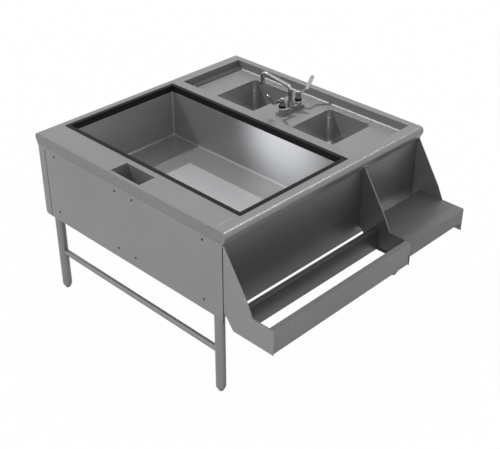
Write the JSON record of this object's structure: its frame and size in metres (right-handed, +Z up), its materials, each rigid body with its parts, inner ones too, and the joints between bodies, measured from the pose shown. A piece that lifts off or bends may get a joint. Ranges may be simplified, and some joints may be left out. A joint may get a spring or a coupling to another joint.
{
  "type": "bar sink with ice bin",
  "caption": "Stainless bar station on round legs: deep insulated ice bin, sunken drawn sink bowls, deck tap, bottle rail and shelf in front",
  "frame": {"origin": "centre of the footprint, on the floor under the feet", "axes": "+Z up, -Y towards the bottle rail at the front, +X towards the sink bowls"},
  "size_m": [1.1622, 1.356, 0.8644],
  "materials": {
    "brushed_steel": "satin brushed stainless sheet",
    "bright_steel": "smooth bright stainless sheet",
    "tube_steel": "polished stainless tube",
    "foot_metal": "cast metal foot",
    "screw_metal": "dark screw heads",
    "chrome": "polished chrome plate",
    "dark_plastic": "near-black satin plastic",
    "foam": "rigid foam",
    "nut_plastic": "dark lock nuts"
  },
  "bodies": {
    "station": {"deck_top": "brushed_steel", "breaker_strip": "dark_plastic", "ice_bin_liner": "bright_steel", "bin_insulation": "foam", "bin_jacket": "brushed_steel", "bin_drain": "bright_steel", "bin_drain_nut": "nut_plastic", "side_pocket": "brushed_steel", "sink_tray": "brushed_steel", "tray_sides": "brushed_steel", "tray_ends": "brushed_steel", "near_bowl": "bright_steel", "far_bowl": "bright_steel", "near_drain": "bright_steel", "far_drain": "bright_steel", "near_drain_nut": "nut_plastic", "far_drain_nut": "nut_plastic", "tap_base": "chrome", "left_bonnet": "chrome", "right_bonnet": "chrome", "spout_nut": "chrome", "supply_nuts": "chrome", "front_panel": "brushed_steel", "back_panel": "brushed_steel", "left_panel": "brushed_steel", "right_panel": "brushed_steel", "front_left_post": "brushed_steel", "front_right_post": "brushed_steel", "rear_left_post": "brushed_steel", "rear_right_post": "brushed_steel", "left_stiffeners": "brushed_steel", "right_stiffeners": "brushed_steel", "left_screws": "screw_metal", "right_screws": "screw_metal", "left_plate": "brushed_steel", "middle_plate": "brushed_steel", "right_plate": "brushed_steel", "rail_trough": "brushed_steel", "rail_back": "brushed_steel", "shelf": "brushed_steel", "left_base_channel": "brushed_steel", "right_base_channel": "brushed_steel", "cross_channels": "brushed_steel", "front_left_leg": "tube_steel", "front_right_leg": "tube_steel", "rear_left_leg": "tube_steel", "rear_right_leg": "tube_steel", "left_cross_rail": "tube_steel", "right_cross_rail": "tube_steel"},
    "spout": {"spout": "chrome", "aerator": "chrome"},
    "left_lever": {"left_lever": "chrome"},
    "right_lever": {"right_lever": "chrome"},
    "near_strainer": {"near_strainer": "chrome"},
    "far_strainer": {"far_strainer": "chrome"},
    "front_left_foot": {"front_left_foot": "foot_metal"},
    "front_right_foot": {"front_right_foot": "foot_metal"},
    "rear_left_foot": {"rear_left_foot": "foot_metal"},
    "rear_right_foot": {"rear_right_foot": "foot_metal"}
  },
  "joints": [
    {"name": "spout_swivel", "type": "hinge", "parent": "station", "child": "spout", "pos_m": [0.367, 0.119, 0.7825], "axis": [0, 0, 1], "range_deg": [-80, 80]},
    {"name": "left_lever_turn", "type": "hinge", "parent": "station", "child": "left_lever", "pos_m": [0.3155, 0.119, 0.7665], "axis": [0, 0, 1], "range_deg": [0, 90]},
    {"name": "right_lever_turn", "type": "hinge", "parent": "station", "child": "right_lever", "pos_m": [0.4185, 0.119, 0.7665], "axis": [0, 0, 1], "range_deg": [-90, 0]},
    {"name": "near_strainer_lift", "type": "slide", "parent": "station", "child": "near_strainer", "axis": [0, 0, 1], "range_m": [0, 0.12]},
    {"name": "far_strainer_lift", "type": "slide", "parent": "station", "child": "far_strainer", "axis": [0, 0, 1], "range_m": [0, 0.12]},
    {"name": "front_left_foot_adjust", "type": "slide", "parent": "station", "child": "front_left_foot", "axis": [0, 0, -1], "range_m": [0, 0.025]},
    {"name": "front_right_foot_adjust", "type": "slide", "parent": "station", "child": "front_right_foot", "axis": [0, 0, -1], "range_m": [0, 0.025]},
    {"name": "rear_left_foot_adjust", "type": "slide", "parent": "station", "child": "rear_left_foot", "axis": [0, 0, -1], "range_m": [0, 0.025]},
    {"name": "rear_right_foot_adjust", "type": "slide", "parent": "station", "child": "rear_right_foot", "axis": [0, 0, -1], "range_m": [0, 0.025]}
  ]
}
